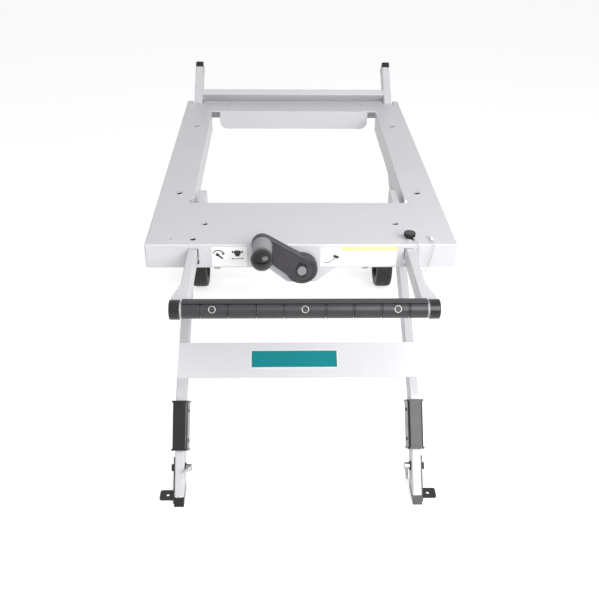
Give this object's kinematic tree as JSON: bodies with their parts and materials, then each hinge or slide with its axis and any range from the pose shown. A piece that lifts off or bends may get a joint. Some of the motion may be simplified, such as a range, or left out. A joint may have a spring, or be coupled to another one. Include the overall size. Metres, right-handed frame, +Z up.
{
  "type": "table saw stand",
  "caption": "Wheeled table saw stand with a pressed open table, crossing scissor legs, a crank-driven lifting screw and a pull handle.",
  "frame": {"origin": "on the floor, under the middle of the whole stand's box", "axes": "+Z up, +Y to the rear, where the posts stand above the table and the wheels are; the pull handle and crank are at the front, -Y; +X to the right seen from the front"},
  "size_m": [0.6166, 1.1838, 0.6719],
  "materials": {
    "table_paint": "satin silver-grey enamel",
    "leg_paint": "satin silver-grey enamel on tube",
    "sheet_paint": "pale grey enamel on sheet",
    "zinc_steel": "zinc plated",
    "dark_steel": "blackened steel",
    "bright_steel": "polished",
    "bronze": "sintered bronze",
    "nylon": "natural nylon",
    "black_plastic": "moulded black plastic",
    "crank_coat": "dark grey crackle coat",
    "grip_rubber": "satin moulded grip",
    "shank_plastic": "moulded grey plastic",
    "name_plate": "plain teal plate with a white rim",
    "label_film": "plain white film",
    "tyre_rubber": "solid rubber",
    "wheel_plastic": "moulded dark plastic"
  },
  "bodies": {
    "table": {"table_plate": "table_paint", "hinge_brackets": "zinc_steel", "hinge_bolts": "zinc_steel", "slide_rails": "zinc_steel", "handle_guides": "zinc_steel", "screw_bearing_front": "nylon", "screw_bearing_rear": "zinc_steel", "weld_nut": "zinc_steel", "chain_collar": "bright_steel", "chain_anchor": "bright_steel", "chain": "bright_steel", "front_labels": "label_film"},
    "crank": {"lead_screw": "zinc_steel", "crank_disc": "crank_coat", "crank_arm": "crank_coat", "crank_cap": "shank_plastic", "knob_pin": "zinc_steel"},
    "crank_knob": {"knob_shank": "shank_plastic", "knob_ball": "black_plastic"},
    "clamp": {"clamp_knob": "black_plastic"},
    "handle": {"handle_tube_left": "leg_paint", "handle_tube_right": "leg_paint", "handle_bar": "leg_paint", "handle_grip": "grip_rubber", "grip_caps": "black_plastic", "grip_screws": "dark_steel"},
    "front_legs": {"front_leg_tube_left": "leg_paint", "front_leg_tube_right": "leg_paint", "rear_crossbar": "leg_paint", "cross_plate": "sheet_paint", "name_plate": "name_plate", "top_caps": "black_plastic", "leg_sleeves": "black_plastic", "sleeve_screws": "dark_steel", "hinge_bushes": "nylon", "pivot_bolts": "zinc_steel", "foot_bolts": "dark_steel"},
    "left_foot": {"foot_bracket_left": "dark_steel", "foot_shoe_left": "black_plastic"},
    "right_foot": {"foot_bracket_right": "dark_steel", "foot_shoe_right": "black_plastic"},
    "left_lever": {"lever_nut_left": "zinc_steel"},
    "right_lever": {"lever_nut_right": "zinc_steel"},
    "rear_legs": {"rear_leg_tube_left": "leg_paint", "rear_leg_tube_right": "leg_paint", "rear_leg_brace": "leg_paint", "rear_leg_caps": "black_plastic", "rear_leg_bushes": "nylon", "axle": "zinc_steel", "axle_spacers": "zinc_steel", "axle_caps": "black_plastic"},
    "nut_carriage": {"nut_block": "bronze", "slide_rods": "zinc_steel", "rod_washers": "nylon"},
    "left_wheel": {"tyre_left": "tyre_rubber", "wheel_hub_left": "wheel_plastic", "wheel_bush_left": "nylon"},
    "right_wheel": {"tyre_right": "tyre_rubber", "wheel_hub_right": "wheel_plastic", "wheel_bush_right": "nylon"}
  },
  "joints": [
    {"name": "front_leg_fold", "type": "hinge", "parent": "table", "child": "front_legs", "pos_m": [0, 0.39169, 0.54001], "axis": [-1, 0, 0], "range_deg": [0, 24]},
    {"name": "rear_leg_fold", "type": "hinge", "parent": "front_legs", "child": "rear_legs", "pos_m": [0, 0.0859, 0.36595], "axis": [1, 0, 0], "range_deg": [0, 48]},
    {"name": "nut_pivot", "type": "hinge", "parent": "rear_legs", "child": "nut_carriage", "pos_m": [0, -0.21988, 0.54001], "axis": [-1, 0, 0], "range_deg": [0, 24]},
    {"name": "crank_turn", "type": "hinge", "parent": "table", "child": "crank", "pos_m": [0, -0.38088, 0.548], "axis": [0, -1, 0], "range_deg": [0, 3600]},
    {"name": "knob_spin", "type": "hinge", "parent": "crank", "child": "crank_knob", "pos_m": [-0.06996, -0.42088, 0.59698], "axis": [0, -1, 0], "continuous": true},
    {"name": "clamp_screw_turn", "type": "hinge", "parent": "table", "child": "clamp", "pos_m": [0.1954, -0.35888, 0.59], "axis": [0, 0, -1], "range_deg": [-360, 0]},
    {"name": "handle_slide", "type": "slide", "parent": "table", "child": "handle", "axis": [0, 1, 0], "range_m": [0, 0.06]},
    {"name": "left_wheel_spin", "type": "hinge", "parent": "rear_legs", "child": "left_wheel", "pos_m": [-0.276, 0.51188, 0.08], "axis": [1, 0, 0], "continuous": true},
    {"name": "right_wheel_spin", "type": "hinge", "parent": "rear_legs", "child": "right_wheel", "pos_m": [0.276, 0.51188, 0.08], "axis": [1, 0, 0], "continuous": true},
    {"name": "left_foot_slide", "type": "slide", "parent": "front_legs", "child": "left_foot", "axis": [0, -0.6361, -0.7716], "range_m": [0, 0.012]},
    {"name": "right_foot_slide", "type": "slide", "parent": "front_legs", "child": "right_foot", "axis": [0, -0.6361, -0.7716], "range_m": [0, 0.012]},
    {"name": "left_lever_turn", "type": "hinge", "parent": "front_legs", "child": "left_lever", "pos_m": [-0.2325, -0.36542, 0.04924], "axis": [1, 0, 0], "range_deg": [0, 90]},
    {"name": "right_lever_turn", "type": "hinge", "parent": "front_legs", "child": "right_lever", "pos_m": [0.2325, -0.36542, 0.04924], "axis": [-1, 0, 0], "range_deg": [0, 90]}
  ],
  "couplings": [
    {"joint": "rear_leg_fold", "follows": "front_leg_fold", "ratio": 2},
    {"joint": "nut_pivot", "follows": "front_leg_fold", "ratio": 1},
    {"joint": "crank_turn", "follows": "front_leg_fold", "ratio": 150}
  ]
}
